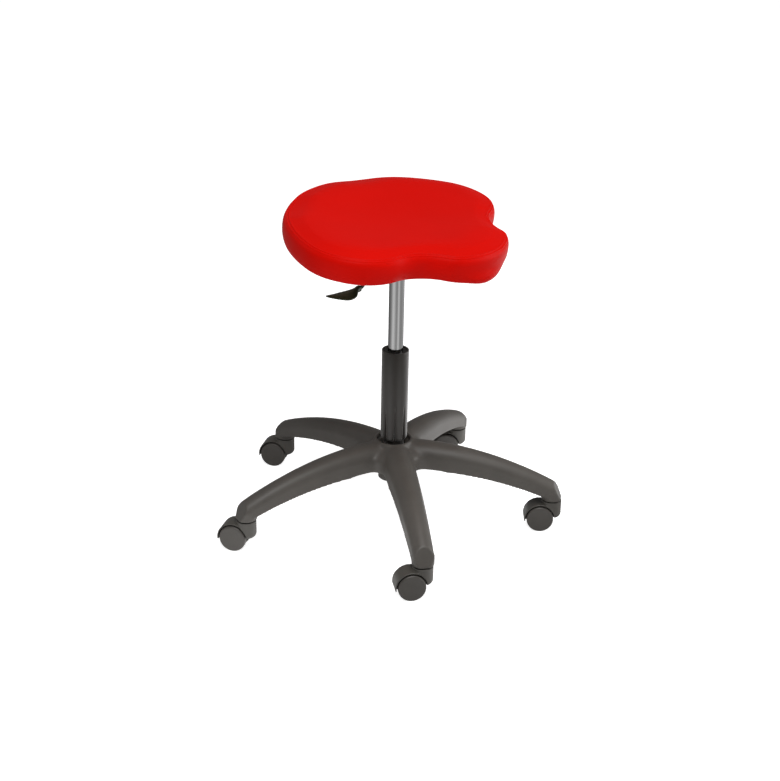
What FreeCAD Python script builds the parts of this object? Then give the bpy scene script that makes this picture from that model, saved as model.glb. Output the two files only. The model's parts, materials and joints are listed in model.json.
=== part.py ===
import FreeCAD, Part
import math
import os

# Saddle stool on a five-armed base with twin-wheel casters.
# Millimetres and degrees. +Z is up, the seat's nose points along -Y.
# The origin is on the floor, under the axis of the column.

V = FreeCAD.Vector
UP = V(0, 0, 1)
ORIGIN = V(0, 0, 0)

# Caster
wheel_radius = 25.0
wheel_width = 11.2
wheel_dome = 0.8
wheel_edge = 2.5
wheel_dish_depth = 5.0
wheel_hub_radius = 7.0
wheel_rim_wall = 4.0
wheel_side_gap = 0.6
hood_gap = 2.4
hood_wall = 2.2
hood_side_inset = 2.6
hood_drop = 5.0
web_half = 8.0
web_foot_radius = 13.0
axle_radius = 3.0
axle_gap = 0.06
caster_trail = 21.5
boss_radius = 18.5
boss_bottom = 25.0
boss_rounding = 9.0
stem_radius = 5.5
stem_gap = 0.06
stem_depth = 24.0
stem_reach = 22.0
collar_radius = 12.0
collar_height = 2.2
# from the top of the hood to the underside of the arm's tip
tip_gap = 7.2
# direction in which each caster trails behind its stem, arm by arm
caster_turns = (106.0, 132.0, 121.0, 121.0, 108.0)

# Star base
first_arm = -210.6
arm_count = 5
stem_circle = 302.0
tip_radius = 20.0
hub_crown = 1.3
hub_length = 81.0
hub_radius = 40.0
hub_foot_radius = 28.0
hub_shoulder = 13.0
recess_radius = 31.2
recess_depth = 12.0
# rise of the arms' crest over their tips, and how far it falls again at the facet
arm_rise = 99.9
ridge_apex = 27.0
ridge_drop = 65.3
arm_depth = 49.7
under_apex = 60.0
under_drop = 46.7
arm_half_root = 31.0
arm_half_tip = 20.0
arm_draft = 0.07
# rise of an arm's round top over its half width there
arm_crown = 0.8
foot_rise = 15.0
arm_wall = 4.0
arm_roof = 4.5
arm_stations = 7
facet_offset = 2.0
facet_lean = 25.0
valley_radius = 18.0
valley_top_drop = 4.0
valley_slope = 0.55
cavity_start = 52.0
rib_count = 4
rib_thickness = 2.5
sleeve_wall = 1.5

# Column tube and its bearing
tube_radius = 25.0
tube_wall = 2.0
tube_spare = 42.0
neck_radius = 19.5
neck_slope = 0.0125
neck_stand = 6.0
neck_length = 74.0
swage_rounding = 5.5
neck_wall = 2.5
flute_count = 8
flute_length = 67.0
flute_radius = 2.3
flute_depth = 5.4
# angle from the first arm to a groove
flute_turn = 61.6
bottom_plate = 4.0
rod_radius = 5.0
rod_neck_radius = 4.0
rod_clearance = 0.6
race_radius = 14.0
race_height = 2.0
ball_radius = 1.6
ball_circle = 10.0
ball_count = 12
ball_gap = 0.05
bump_radius = 12.0
bump_height = 8.0
washer_height = 1.4
clip_height = 1.4
clip_groove = 0.9
rod_end = 3.0
running_gap = 0.05

# Gas cylinder
cylinder_radius = 14.0
cylinder_wall = 2.0
stroke = 130.0
stop_gap = 2.0
bush_length = 73.0
bush_recess = 2.0
cylinder_length = 285.0
taper_length = 40.0
guide_height = 12.0
guide_inset = 1.0
piston_height = 10.0
piston_gap = 2.0
piston_neck_radius = 3.5
rivet_height = 2.0
valve_height = 32.0
valve_inset = 2.0
pin_radius = 4.0
pin_stand = 6.6
pin_depth = 22.4
pin_gap = 0.4
pin_travel = 3.8

# Seat plate and lever
socket_radius = 20.5
socket_bore = 13.0
socket_grip = 38.0
plate_size = 168.0
plate_corner = 18.0
plate_thickness = 3.0
bolt_edge = 15.0
bolt_radius = 4.0
bolt_hole_gap = 0.5
bolt_head_radius = 7.2
bolt_head_height = 5.3
bolt_head_sides = 6
nut_gap = 0.05
nut_barrel_radius = 5.2
nut_flange_radius = 10.0
nut_flange_height = 1.3
lever_angle = 168.0
lever_bar_width = 10.0
lever_bar_height = 4.0
lever_nose = 3.0
lever_eye_radius = 5.0
lever_eye_side = 1.8
lever_eye_gap = 4.5
lever_plate_gap = 2.5
lever_rod_radius = 3.5
lever_bend = 48.0
lever_bend_radius = 12.0
lever_drop = 56.0
lever_tang = 22.0
pivot_radius = 2.5
pivot_head_radius = 4.2
pivot_head_height = 1.6
pivot_gap = 0.05
ear_thickness = 2.5
ear_gap = 0.6
ear_width = 14.0
ear_below = 8.0
slot_gap = 1.5
paddle_length = 65.0
paddle_width = 37.0
# from the root to the widest place
paddle_belly = 24.0
paddle_thickness = 6.0
paddle_corner = 3.0
paddle_edge = 2.0

# Seat
seat_tilt = 6.7
nose_reach = 202.0
rear_reach = 197.0
nose_front_radius = 146.0
nose_corner_radius = 48.0
nose_corner_x = 53.8
waist_radius = 86.0
wing_x = 138.0
wing_y = 1.0
wing_radius = 104.0
side_inset = 7.0
cover_thickness = 2.5
hem_thickness = 1.5
hem_width = 22.0
board_thickness = 12.0
# side profile of the cushion: height above its underside and inset from the widest outline
side_profile = ((0.0, side_inset), (8.0, 3.6), (20.0, 0.6), (30.0, 0.6), (37.5, 3.0), (41.5, 8.0))
crown_profile = ((44.5, 13.0), (46.8, 22.0), (48.0, 34.0))
dish_radius = 128.0
dish_depth = 9.0
dish_y = 26.0


def arc_radius(reach, drop):
    """Radius of an arc that falls by drop at the distance reach from its peak."""
    return (reach ** 2 + drop ** 2) / (2 * drop)


# Heights and reaches that follow from the sizes above
TAU = 360.0
cut_span = stem_circle
hood_radius = wheel_radius + hood_gap + hood_wall
tip_height = wheel_radius + hood_radius + tip_gap
facet_top = stem_circle + facet_offset
ridge_height = tip_height + arm_rise
ridge_radius = arc_radius(facet_top - ridge_apex, ridge_drop)
under_height = ridge_height - arm_depth
under_radius = arc_radius(stem_circle - under_apex, under_drop)
hub_top = ridge_height + hub_crown
hub_bottom = hub_top - hub_length
neck_top = hub_top + neck_stand
neck_bottom = neck_top - neck_length
tube_top = neck_top + stroke + tube_spare
flute_top = neck_top + flute_length
clip_bottom = neck_bottom - clip_height
plate_face = neck_bottom + washer_height + bottom_plate
ball_height = plate_face + race_height + ball_radius / 2
upper_race_bottom = plate_face + race_height + ball_radius
shoulder_height = upper_race_bottom + race_height
bump_top = shoulder_height + bump_height
cylinder_bottom = bump_top + stop_gap + stroke
cylinder_top = cylinder_bottom + cylinder_length
piston_bottom = cylinder_bottom + guide_inset + guide_height + piston_gap
pin_top = cylinder_top + pin_stand
pin_bottom = cylinder_top - pin_depth
socket_bottom = cylinder_top - socket_grip
lever_height = pin_top + pin_gap + lever_bar_height / 2
lever_reach = socket_radius + lever_eye_radius + lever_eye_gap
seat_base = lever_height + lever_eye_radius + lever_plate_gap
bolt_spacing = plate_size - 2 * bolt_edge


def polar(radius, angle, z=0.0):
    a = math.radians(angle)
    return V(radius * math.cos(a), radius * math.sin(a), z)


def turned(shape, angle):
    copy = shape.copy()
    copy.rotate(ORIGIN, UP, angle)
    return copy


def moved(shape, x=0.0, y=0.0, z=0.0):
    copy = shape.copy()
    copy.translate(V(x, y, z))
    return copy


def cylinder(radius, z0, z1, x=0.0, y=0.0):
    return Part.makeCylinder(radius, z1 - z0, V(x, y, z0))


def cross_cylinder(radius, half, x, z):
    """A cylinder along Y, centred on the XZ plane."""
    return Part.makeCylinder(radius, 2 * half, V(x, -half, z), V(0, 1, 0))


def box(x0, x1, y0, y1, z0, z1):
    return Part.makeBox(x1 - x0, y1 - y0, z1 - z0, V(x0, y0, z0))


def revolved(profile):
    """A solid of revolution about Z from (radius, height) corners."""
    corners = [V(r, 0, z) for r, z in profile]
    wire = Part.makePolygon(corners + corners[:1])
    return Part.Face(wire).revolve(ORIGIN, UP, TAU)


def prism(wire, depth):
    return Part.Face(wire).extrude(V(0, 0, depth))


def joined(shapes):
    shapes = list(shapes)
    return shapes[0].fuse(shapes[1:]).removeSplitter()


# Star base

def arch(height, apex, radius, r):
    """Height of a long arc that peaks at the distance apex from the column."""
    return height - radius + math.sqrt(radius ** 2 - (r - apex) ** 2)


def ridge(r):
    return arch(ridge_height, ridge_apex, ridge_radius, r)


def underside(r):
    return arch(under_height, under_apex, under_radius, max(r, under_apex))


def arm_half(r):
    share = r / stem_circle
    return arm_half_root + (arm_half_tip - arm_half_root) * share


def arm_section(r, wall, roof, below):
    half = arm_half(r) - wall
    low = underside(r) - below
    top = ridge(r) - roof
    shoulder = top - arm_crown * half
    narrow = half - arm_draft * (shoulder - underside(r))
    feet = V(r, -half, low), V(r, half, low)
    shoulders = V(r, -narrow, shoulder), V(r, narrow, shoulder)
    crown = Part.Arc(shoulders[0], V(r, 0, top), shoulders[1]).toShape()
    sides = (Part.makeLine(feet[0], shoulders[0]), Part.makeLine(shoulders[1], feet[1]))
    return Part.Wire([sides[0], crown, sides[1], Part.makeLine(feet[1], feet[0])])


def arm_loft(start, end, wall=0.0, roof=0.0, below=0.0):
    step = (end - start) / (arm_stations - 1)
    wires = [arm_section(start + i * step, wall, roof, below) for i in range(arm_stations)]
    return Part.makeLoft(wires, True, False)


def arm_tip_trim():
    """The plan of an arm with its round end and level foot, and the sloping facet cut from it."""
    plan = box(0, stem_circle, -cut_span, cut_span, tip_height, hub_top)
    plan = plan.fuse(cylinder(tip_radius, tip_height, hub_top, stem_circle))
    lean = math.tan(math.radians(facet_lean))
    top = ridge(facet_top)
    low = V(facet_top + lean * top, -cut_span, 0)
    high = V(facet_top - lean * (hub_top - top), -cut_span, hub_top)
    far = stem_circle + cut_span
    wedge = Part.makePolygon([low, high, V(far, -cut_span, hub_top), V(far, -cut_span, 0), low])
    return plan.cut(Part.Face(wedge).extrude(V(0, 2 * cut_span, 0)))


def arm():
    """One arm, made longer than needed and trimmed to its tip, with the foot that holds a stem."""
    trim = arm_tip_trim()
    body = arm_loft(hub_foot_radius / 2, stem_circle + 2 * tip_radius).common(trim)
    foot = cylinder(tip_radius, tip_height, underside(stem_circle) + foot_rise, stem_circle)
    return body.fuse(foot.common(trim))


def arm_cavity():
    """The hollow under an arm, crossed by stiffening ribs."""
    end = stem_circle - tip_radius - arm_wall
    hollow = arm_loft(cavity_start, end, arm_wall, arm_roof, arm_wall)
    pitch = (end - cavity_start) / (rib_count + 1)
    places = [cavity_start + (i + 1) * pitch for i in range(rib_count)]
    ribs = [box(x, x + rib_thickness, -cut_span, cut_span, 0, hub_top) for x in places]
    return hollow.cut(ribs)


def valley():
    """The blend that fills the corner between two arms."""
    bend = TAU / arm_count / 2
    half = math.radians(bend)
    side = arm_half(cavity_start)
    centre = (side + valley_radius) / math.sin(half)
    left = turned(Part.Vertex(V(centre * math.cos(half), -side, 0)), bend).Point
    right = V(left.x, -left.y, 0)
    middle = V(centre - valley_radius, 0, 0)
    wire = Part.Wire([Part.makeLine(ORIGIN, right), Part.Arc(right, middle, left).toShape(),
                      Part.makeLine(left, ORIGIN)])
    low = underside(cavity_start)
    block = moved(prism(wire, hub_top - low), z=low)
    top = ridge_height - valley_top_drop
    roof_end = recess_radius + (top - low) / valley_slope
    return block.common(revolved([(0, low), (roof_end, low), (recess_radius, top), (0, top)]))


def star_base():
    hub = revolved([(0, hub_bottom), (hub_foot_radius, hub_bottom),
                    (hub_foot_radius, underside(0) - arm_wall), (hub_radius, underside(0)),
                    (hub_radius, hub_top - hub_shoulder), (hub_radius - arm_wall, hub_top), (0, hub_top)])
    pitch = TAU / arm_count
    arms = [turned(arm(), first_arm + i * pitch) for i in range(arm_count)]
    valleys = [turned(valley(), first_arm + (i + 0.5) * pitch) for i in range(arm_count)]
    solid = hub.fuse(arms + valleys)
    cavities = [turned(arm_cavity(), first_arm + i * pitch) for i in range(arm_count)]
    holes = [turned(sleeve_hole(), first_arm + i * pitch) for i in range(arm_count)]
    recess = cylinder(recess_radius, hub_top - recess_depth, hub_top + hub_shoulder)
    bore = neck_cone(hub_bottom, neck_top, 0.0)
    return solid.cut(cavities + holes + [recess, bore])


def sleeve_hole():
    return cylinder(stem_radius + sleeve_wall, tip_height, tip_height + stem_reach + sleeve_wall, stem_circle)


def stem_sleeves():
    sleeve = sleeve_hole().cut(cylinder(stem_radius, tip_height, tip_height + stem_reach, stem_circle))
    return Part.Compound([turned(sleeve, first_arm + i * TAU / arm_count) for i in range(arm_count)])


# Column

def neck_radius_at(z):
    return neck_radius - neck_slope * (neck_top - z)


def neck_cone(z0, z1, wall):
    return Part.makeCone(neck_radius_at(z0) - wall, neck_radius_at(z1) - wall, z1 - z0, V(0, 0, z0))


def flutes():
    """Grooves that deepen towards the swaged end."""
    length = flute_top - neck_top + swage_rounding
    start = tube_radius - flute_depth + flute_radius
    low = V(start, 0, neck_top - swage_rounding)
    lean = V((tube_radius + flute_radius - start) / length, 0, 1)
    groove = Part.makeCone(flute_radius, flute_radius / 2, length, low, lean)
    pitch = TAU / flute_count
    return [turned(groove, first_arm + flute_turn + i * pitch) for i in range(flute_count)]


def outer_tube():
    outside = cylinder(tube_radius, neck_top, tube_top)
    edges = [e for e in outside.Edges if abs(e.BoundBox.ZMax - neck_top) < running_gap]
    outside = outside.makeFillet(swage_rounding, edges)
    outside = outside.fuse(neck_cone(neck_bottom, neck_top + swage_rounding, 0.0))
    narrow = neck_radius_at(neck_bottom) - neck_wall
    wide = tube_radius - tube_wall
    step = flute_top + wide - narrow
    inside = revolved([(0, plate_face), (narrow, plate_face), (narrow, flute_top), (wide, step),
                       (wide, tube_top), (0, tube_top)])
    hole = cylinder(rod_neck_radius + rod_clearance, neck_bottom, plate_face)
    washer_seat = cylinder(race_radius + rod_clearance, neck_bottom, neck_bottom + washer_height)
    return outside.cut(flutes() + [inside, hole, washer_seat])


def race(z):
    return cylinder(race_radius, z, z + race_height).cut(
        cylinder(rod_neck_radius + running_gap, z, z + race_height))


def bearing_lower_race():
    return race(plate_face).cut(ball_track())


def bearing_upper_race():
    return race(upper_race_bottom).cut(ball_track())


def ball_track():
    """The ring-shaped groove that the balls roll in, centred between the races."""
    return Part.makeTorus(ball_circle, ball_radius, V(0, 0, ball_height))


def bearing_balls():
    ball = Part.makeSphere(ball_radius - ball_gap, V(ball_circle, 0, ball_height))
    return Part.Compound([turned(ball, i * TAU / ball_count) for i in range(ball_count)])


def piston_rod():
    top = piston_bottom
    low = clip_bottom - rod_end
    rod = cylinder(rod_neck_radius, low, shoulder_height)
    rod = rod.fuse([cylinder(rod_radius, shoulder_height, top),
                    cylinder(piston_neck_radius, top, top + piston_height),
                    cylinder(rod_radius, top + piston_height, top + piston_height + rivet_height)])
    groove = cylinder(rod_radius, clip_bottom, neck_bottom).cut(
        cylinder(rod_neck_radius - clip_groove, clip_bottom, neck_bottom))
    return rod.cut(groove)


def piston():
    z = piston_bottom
    radius = cylinder_radius - cylinder_wall - running_gap
    return cylinder(radius, z, z + piston_height).cut(cylinder(piston_neck_radius, z, z + piston_height))


def bump_stop():
    return cylinder(bump_radius, shoulder_height, bump_top).cut(
        cylinder(rod_radius, shoulder_height, bump_top))


def clip_washer():
    top = neck_bottom + washer_height
    return cylinder(race_radius, neck_bottom, top).cut(cylinder(rod_neck_radius, neck_bottom, top))


def rod_clip():
    """A spring clip with a mouth, seated in the rod's groove."""
    low = clip_bottom
    ring = cylinder(race_radius / 2, low, neck_bottom).cut(
        cylinder(rod_neck_radius - clip_groove, low, neck_bottom))
    mouth = box(0, race_radius, -rod_neck_radius / 2, rod_neck_radius / 2, low, neck_bottom)
    return ring.cut(mouth)


def guide_bush():
    top = tube_top - bush_recess
    low = top - bush_length
    return cylinder(tube_radius - tube_wall, low, top).cut(
        cylinder(cylinder_radius + running_gap, low, top))


# Gas cylinder

def taper_radius(z):
    return cylinder_radius - neck_slope * (z - (cylinder_top - taper_length))


def gas_cylinder():
    start = cylinder_top - taper_length
    low = cylinder_bottom
    inner = cylinder_radius - cylinder_wall
    return revolved([(inner, low), (cylinder_radius, low), (cylinder_radius, start),
                     (taper_radius(cylinder_top), cylinder_top), (inner, cylinder_top)])


def rod_guide():
    low = cylinder_bottom + guide_inset
    return cylinder(cylinder_radius - cylinder_wall, low, low + guide_height).cut(
        cylinder(rod_radius + running_gap, low, low + guide_height))


def valve_body():
    top = cylinder_top - valve_inset
    low = top - valve_height
    body = cylinder(cylinder_radius - cylinder_wall, low, top)
    return body.cut(cylinder(pin_radius + running_gap, pin_bottom - pin_travel - running_gap, top))


def release_pin():
    dome = Part.makeSphere(pin_radius, V(0, 0, pin_top - pin_radius))
    return cylinder(pin_radius, pin_bottom, pin_top - pin_radius).fuse(dome).removeSplitter()


# Seat plate, in the tilted frame of the seat: height 0 is the cushion's underside

def on_seat(shape):
    copy = shape.copy()
    copy.rotate(ORIGIN, V(1, 0, 0), seat_tilt)
    copy.translate(V(0, 0, seat_base))
    return copy


def plate_under():
    return hem_thickness - plate_thickness


def below_plate():
    """Everything under the seat plate, used to trim what is welded to it."""
    size = plate_size * 2
    return on_seat(box(-size, size, -size, size, -size, plate_under()))


def bolt_places():
    half = bolt_spacing / 2
    return [(x, y) for x in (-half, half) for y in (-half, half)]


def seat_plate():
    half = plate_size / 2
    plate = box(-half, half, -half, half, plate_under(), hem_thickness)
    corners = [e for e in plate.Edges if e.BoundBox.ZLength > plate_thickness - running_gap]
    plate = plate.makeFillet(plate_corner, corners)
    radius = bolt_radius + bolt_hole_gap
    holes = [cylinder(radius, plate_under(), hem_thickness, x, y) for x, y in bolt_places()]
    return on_seat(plate.cut(holes))


def plate_bolts():
    head_low = plate_under() - bolt_head_height
    tip = hem_thickness + board_thickness - nut_flange_height
    bolts = []
    for x, y in bolt_places():
        hexagon = [polar(bolt_head_radius, i * TAU / bolt_head_sides) for i in range(bolt_head_sides + 1)]
        head = moved(prism(Part.makePolygon(hexagon), bolt_head_height), x, y, head_low)
        bolts.append(head.fuse(cylinder(bolt_radius, plate_under(), tip, x, y)).removeSplitter())
    return on_seat(Part.Compound(bolts))


def nut_shape(x, y):
    """A tee nut as a filled shape: its barrel and flange in the board."""
    top = hem_thickness + board_thickness
    barrel = cylinder(nut_barrel_radius, hem_thickness + nut_flange_height, top, x, y)
    flange = cylinder(nut_flange_radius, top - nut_flange_height, top, x, y)
    return barrel.fuse(flange)


def tee_nuts():
    top = hem_thickness + board_thickness
    nuts = [nut_shape(x, y).cut(cylinder(bolt_radius + nut_gap, hem_thickness, top, x, y))
            for x, y in bolt_places()]
    return on_seat(Part.Compound(nuts))


def taper_socket():
    body = cylinder(socket_radius, socket_bottom, seat_base + plate_size / 2).common(below_plate())
    cone = Part.makeCone(taper_radius(socket_bottom), taper_radius(cylinder_top), socket_grip,
                         V(0, 0, socket_bottom))
    above = cylinder(socket_bore, cylinder_top, seat_base + plate_size / 2)
    return body.cut([cone, above, lever_slot()])


def lever_slot():
    half = lever_bar_width / 2 + slot_gap
    low = lever_height - lever_bar_height / 2 - pin_travel - slot_gap
    return turned(box(0, 2 * socket_radius, -half, half, low, seat_base + plate_size / 2), lever_angle)


def ear_inside():
    return lever_eye_half() + ear_gap


def lever_eye_half():
    return lever_bar_width / 2 + lever_eye_side


def lever_bracket():
    """Two ears under the plate, which carry the lever's pivot."""
    ears = []
    for side in (-1, 1):
        near = ear_inside()
        low = lever_height - ear_below
        ear = box(lever_reach - ear_width / 2, lever_reach + ear_width / 2, 0, ear_thickness, low,
                  seat_base + plate_size / 2)
        ear = moved(ear, y=near if side > 0 else -near - ear_thickness)
        hole = cross_cylinder(pivot_radius, socket_radius, lever_reach, lever_height)
        ears.append(turned(ear.cut(hole), lever_angle).common(below_plate()))
    return Part.Compound(ears)


def lever_pivot():
    outside = ear_inside() + ear_thickness
    pin = cross_cylinder(pivot_radius, outside + pivot_head_height, lever_reach, lever_height)
    head = cross_cylinder(pivot_head_radius, outside + pivot_head_height, lever_reach, lever_height).cut(
        cross_cylinder(pivot_head_radius, outside, lever_reach, lever_height))
    return turned(pin.fuse(head).removeSplitter(), lever_angle)


def lever_path():
    """Centre line of the lever's round rod with its two bends, and the point where the blade begins."""
    bend = math.radians(lever_bend)
    r = lever_bend_radius
    across = r * math.sin(bend)
    down = r * (1 - math.cos(bend))
    mid = V(r * math.sin(bend / 2), 0, -r * (1 - math.cos(bend / 2)))
    run = (lever_drop - 2 * down) / math.sin(bend)
    p0 = V(lever_reach, 0, lever_height)
    p1 = p0 + V(lever_eye_radius, 0, 0)
    p2 = p1 + V(across, 0, -down)
    p3 = p2 + V(run * math.cos(bend), 0, -run * math.sin(bend))
    p4 = p3 + V(across, 0, -down)
    p5 = p4 + V(lever_tang, 0, 0)
    upper = Part.Arc(p1, p1 + mid, p2).toShape()
    lower = Part.Arc(p3, p4 - mid, p4).toShape()
    wire = Part.Wire([Part.makeLine(p0, p1), upper, Part.makeLine(p2, p3), lower, Part.makeLine(p4, p5)])
    return wire, p4


def lever_arm():
    wire, _ = lever_path()
    profile = Part.Wire([Part.makeCircle(lever_rod_radius, V(lever_reach, 0, lever_height), V(1, 0, 0))])
    rod = wire.makePipeShell([profile], True, False)
    half = lever_bar_width / 2
    bar = box(-lever_nose, lever_reach, -half, half, lever_height - lever_bar_height / 2,
              lever_height + lever_bar_height / 2)
    eye = cross_cylinder(lever_eye_radius, lever_eye_half(), lever_reach, lever_height)
    bore = cross_cylinder(pivot_radius + pivot_gap, 2 * lever_eye_half(), lever_reach, lever_height)
    return turned(joined([rod, bar, eye]).cut(bore), lever_angle)


def paddle_blank(root):
    """A leaf-shaped blade between two arcs, cut straight across at its root."""
    z = root.z - paddle_thickness / 2
    half = paddle_width / 2
    radius = arc_radius(paddle_length - paddle_belly, half)
    top = z + paddle_thickness
    leaf = cylinder(radius, z, top, root.x + paddle_belly, radius - half).common(
        cylinder(radius, z, top, root.x + paddle_belly, half - radius))
    return leaf.common(box(root.x, root.x + paddle_length, -half, half, z, top))


def lever_paddle():
    _, root = lever_path()
    blade = paddle_blank(root)
    upright = [e for e in blade.Edges if e.BoundBox.ZLength > paddle_thickness - running_gap]
    blade = blade.makeFillet(paddle_corner, upright)
    flat = [e for e in blade.Edges if e.BoundBox.ZLength < running_gap]
    blade = blade.makeFillet(paddle_edge, flat)
    collar = Part.makeCylinder(lever_rod_radius + paddle_edge, lever_tang, root, V(1, 0, 0))
    tang = Part.makeCylinder(lever_rod_radius, lever_tang, root, V(1, 0, 0))
    return turned(blade.fuse(collar).cut(tang), lever_angle)


# Cushion and board

def beside(a, reach_a, b, reach_b, side):
    """The point at the given distances from two centres, left or right of the line between them."""
    gap = b - a
    length = gap.Length
    along = (reach_a ** 2 - reach_b ** 2 + length ** 2) / (2 * length)
    off = math.sqrt(reach_a ** 2 - along ** 2)
    unit = gap * (1 / length)
    return a + unit * along + V(-unit.y, unit.x, 0) * (off * side)


def seat_centres():
    """Centres of the arcs of the outline's right half, from the nose to the rear, and the rear's radius."""
    front = V(0, nose_front_radius - nose_reach, 0)
    rise = math.sqrt((nose_front_radius - nose_corner_radius) ** 2 - nose_corner_x ** 2)
    corner = V(nose_corner_x, front.y - rise, 0)
    wing = V(wing_x, wing_y, 0)
    waist = beside(corner, nose_corner_radius + waist_radius, wing, wing_radius + waist_radius, -1)
    back = rear_reach - wing_y
    rear_radius = (wing_x ** 2 + back ** 2 - wing_radius ** 2) / (2 * (back - wing_radius))
    return front, corner, waist, wing, V(0, rear_reach - rear_radius, 0), rear_radius


def towards(centre, other, reach):
    """The point at the given distance from a centre, in the direction of another point."""
    gap = other - centre
    return centre + gap * (reach / gap.Length)


def arc_about(centre, a, b):
    """The shorter arc between two points that lie at one distance from the centre."""
    radius = (a - centre).Length
    middle = (a + b) * 0.5
    return Part.Arc(a, towards(centre, middle, radius), b).toShape()


def seat_outline(inset, z):
    """Closed outline of the seat at one height, drawn in from the widest one."""
    front, corner, waist, wing, rear, rear_radius = seat_centres()
    nose = towards(front, corner, nose_front_radius - inset)
    corner_end = towards(corner, waist, nose_corner_radius - inset)
    wing_start = towards(wing, waist, wing_radius - inset)
    rear_start = towards(rear, wing, rear_radius - inset)
    joints = [nose, corner_end, wing_start, rear_start]
    centres = [corner, waist, wing]
    mirror = lambda p: V(-p.x, p.y, p.z)
    edges = [arc_about(front, mirror(nose), nose)]
    edges += [arc_about(c, joints[i], joints[i + 1]) for i, c in enumerate(centres)]
    edges += [arc_about(rear, rear_start, mirror(rear_start))]
    edges += [arc_about(mirror(c), mirror(joints[i + 1]), mirror(joints[i]))
              for i, c in reversed(list(enumerate(centres)))]
    wire = Part.Wire(edges)
    wire.translate(V(0, 0, z))
    return wire


def board_inset():
    return side_inset + cover_thickness


def board_blank():
    return prism(seat_outline(board_inset(), hem_thickness), board_thickness)


def seat_board():
    holes = [cylinder(bolt_radius + bolt_hole_gap, hem_thickness, hem_thickness + board_thickness, x, y)
             for x, y in bolt_places()]
    nuts = [nut_shape(x, y) for x, y in bolt_places()]
    return on_seat(board_blank().cut(holes + nuts))


def seat_cushion():
    body = Part.makeLoft([seat_outline(inset, z) for z, inset in side_profile + crown_profile], True, False)
    ball = (dish_radius ** 2 + dish_depth ** 2) / (2 * dish_depth)
    top = crown_profile[-1][0]
    dish = Part.makeSphere(ball, V(0, dish_y, top - dish_depth + ball))
    window = prism(seat_outline(board_inset() + hem_width, 0), hem_thickness)
    return on_seat(body.cut([dish, board_blank(), window]))


# Casters, built round the stem axis with the wheels trailing along +X

def wheel_inner():
    return web_half + wheel_side_gap


def wheel_outer():
    return wheel_inner() + wheel_width


def caster_housing():
    top = tip_height - collar_height
    boss = cylinder(boss_radius, boss_bottom, top)
    low_edge = [e for e in boss.Edges if abs(e.BoundBox.ZMax - boss_bottom) < running_gap]
    boss = boss.makeFillet(boss_rounding, low_edge)
    hood = cross_cylinder(hood_radius, wheel_outer() - hood_side_inset, caster_trail, wheel_radius)
    far = caster_trail + 2 * hood_radius
    below = box(-far, far, -far, far, -far, wheel_radius - hood_drop)
    before = box(-far, 0, -far, far, -far, boss_bottom + boss_rounding)
    upper = boss.fuse(hood.cut([below, before]))
    web = cross_cylinder(web_foot_radius, web_half, caster_trail, wheel_radius)
    cavity = cross_cylinder(wheel_radius + hood_gap, far, caster_trail, wheel_radius).cut(
        cross_cylinder(wheel_radius + hood_gap, web_half, caster_trail, wheel_radius))
    solid = upper.cut(cavity).fuse(web)
    stem = cylinder(stem_radius + stem_gap, top - stem_depth - stem_gap, top)
    axle = cross_cylinder(axle_radius, web_half, caster_trail, wheel_radius)
    return solid.cut([stem, axle])


def axle_half():
    return wheel_outer() - wheel_edge


def caster_axle():
    return cross_cylinder(axle_radius, axle_half(), caster_trail, wheel_radius)


def wheel():
    """One wheel, hollow towards the web and domed outside, with its outer face upwards."""
    hub_end = wheel_inner()
    face = wheel_outer()
    dish = hub_end + wheel_dish_depth
    rim = wheel_radius - wheel_rim_wall
    blank = revolved([(0, hub_end), (wheel_hub_radius, hub_end), (wheel_hub_radius, dish), (rim, dish),
                      (rim, hub_end), (wheel_radius, hub_end), (wheel_radius, face), (0, face)])
    tread_edges = [e for e in blank.Edges if e.BoundBox.ZLength < running_gap
                   and e.BoundBox.YLength > 2 * rim and e.BoundBox.XMax > rim + running_gap]
    blank = blank.makeFillet(wheel_edge, tread_edges)
    ball = (rim ** 2 + wheel_dome ** 2) / (2 * wheel_dome)
    cap = Part.makeSphere(ball, V(0, 0, face + wheel_dome - ball))
    cap = cap.common(cylinder(rim, dish, face + wheel_edge))
    bore = cylinder(axle_radius + axle_gap, hub_end, axle_half() + axle_gap)
    return blank.fuse(cap).cut(bore)


def caster_wheel(side):
    """The wheel on the given side, stood up on the axle."""
    upright = wheel()
    upright.rotate(ORIGIN, V(1, 0, 0), -90.0 * side)
    return moved(upright, caster_trail, 0, wheel_radius)


def on_arm(shape, index):
    """Turn a caster piece to its trail and move it under the tip of an arm."""
    place = polar(stem_circle, first_arm + index * TAU / arm_count)
    return moved(turned(shape, caster_turns[index]), place.x, place.y)


def caster_stems():
    top = tip_height + stem_reach
    collar_low = tip_height - collar_height
    stem = cylinder(stem_radius, collar_low - stem_depth, top)
    stem = stem.fuse(cylinder(collar_radius, collar_low, tip_height)).removeSplitter()
    return Part.Compound([on_arm(stem, i) for i in range(arm_count)])


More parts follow.
